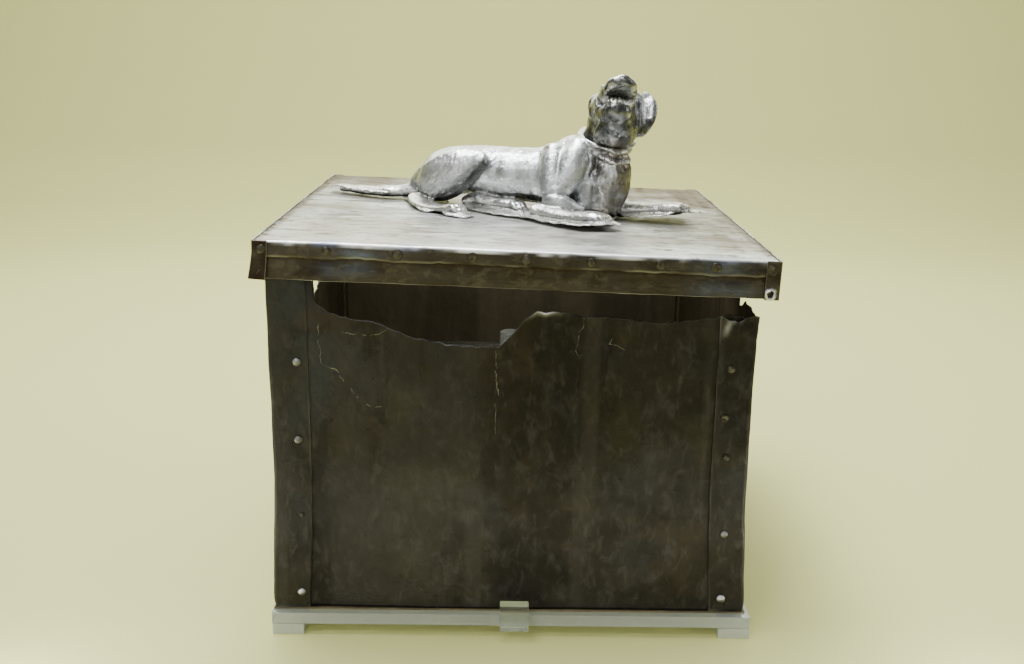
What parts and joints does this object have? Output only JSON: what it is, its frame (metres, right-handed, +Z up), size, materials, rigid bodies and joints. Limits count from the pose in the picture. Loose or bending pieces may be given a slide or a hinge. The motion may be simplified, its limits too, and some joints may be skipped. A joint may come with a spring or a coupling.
{
  "type": "reliquary casket",
  "caption": "Square casket of dark silver sheet with riveted corner straps and a torn front, under a tilted lift-off lid with a recumbent silver dog, on a clear stand.",
  "frame": {"origin": "on the ground under the stand's feet, at the middle of the lid's plan", "axes": "+Z up, +X along the dog from tail to head, the open broken side of the casket faces -Y"},
  "size_m": [0.416, 0.4326, 0.4609],
  "materials": {
    "casket_silver": "dark brown-grey tarnished silver sheet, semi-gloss, with pale hairline cracks",
    "lid_silver": "worn silver sheet, pale and streaked on top, brown-grey with bluish patches on the skirt",
    "rivet_silver": "tarnished silver rivets, the lowest ones bright",
    "dog_silver": "bright beaten silver with blackened hollows and a little brown tarnish",
    "clear_acrylic": "clear polished acrylic with pale greenish edges"
  },
  "bodies": {
    "root": {"back_panel": "casket_silver", "casket_back_rivet_1": "rivet_silver", "casket_back_rivet_2": "rivet_silver", "casket_back_rivet_3": "rivet_silver", "casket_back_rivet_4": "rivet_silver", "casket_back_rivet_5": "rivet_silver", "casket_back_rivet_6": "rivet_silver", "casket_front_rivet_1": "rivet_silver", "casket_front_rivet_2": "rivet_silver", "casket_front_rivet_3": "rivet_silver", "casket_front_rivet_4": "rivet_silver", "casket_front_rivet_5": "rivet_silver", "casket_front_rivet_6": "rivet_silver", "casket_front_rivet_7": "rivet_silver", "casket_front_rivet_8": "rivet_silver", "casket_front_rivet_9": "rivet_silver", "dog_body": "dog_silver", "dog_head": "dog_silver", "floor_sheet": "casket_silver", "front_panel": "casket_silver", "inner_bar": "clear_acrylic", "inner_post": "clear_acrylic", "left_side": "casket_silver", "lid_back_corner_rivet_1": "rivet_silver", "lid_back_corner_rivet_2": "rivet_silver", "lid_back_rivet_1": "rivet_silver", "lid_back_rivet_2": "rivet_silver", "lid_back_rivet_3": "rivet_silver", "lid_back_rivet_4": "rivet_silver", "lid_back_rivet_5": "rivet_silver", "lid_front_corner_rivet_1": "rivet_silver", "lid_front_corner_rivet_2": "rivet_silver", "lid_front_corner_rivet_3": "rivet_silver", "lid_front_rivet_1": "rivet_silver", "lid_front_rivet_2": "rivet_silver", "lid_front_rivet_3": "rivet_silver", "lid_front_rivet_4": "rivet_silver", "lid_front_rivet_5": "rivet_silver", "lid_front_rivet_6": "rivet_silver", "lid_front_rivet_7": "rivet_silver", "lid_left_rivet_1": "rivet_silver", "lid_left_rivet_2": "rivet_silver", "lid_left_rivet_3": "rivet_silver", "lid_right_rivet_1": "rivet_silver", "lid_right_rivet_2": "rivet_silver", "lid_right_rivet_3": "rivet_silver", "lid_rim_back": "lid_silver", "lid_rim_front": "lid_silver", "lid_rim_left": "lid_silver", "lid_rim_right": "lid_silver", "lid_sheet": "lid_silver", "right_side": "casket_silver", "stand_clip_back": "clear_acrylic", "stand_clip_front": "clear_acrylic", "stand_foot_1": "clear_acrylic", "stand_foot_2": "clear_acrylic", "stand_foot_3": "clear_acrylic", "stand_foot_4": "clear_acrylic", "stand_plate": "clear_acrylic"}
  },
  "joints": []
}
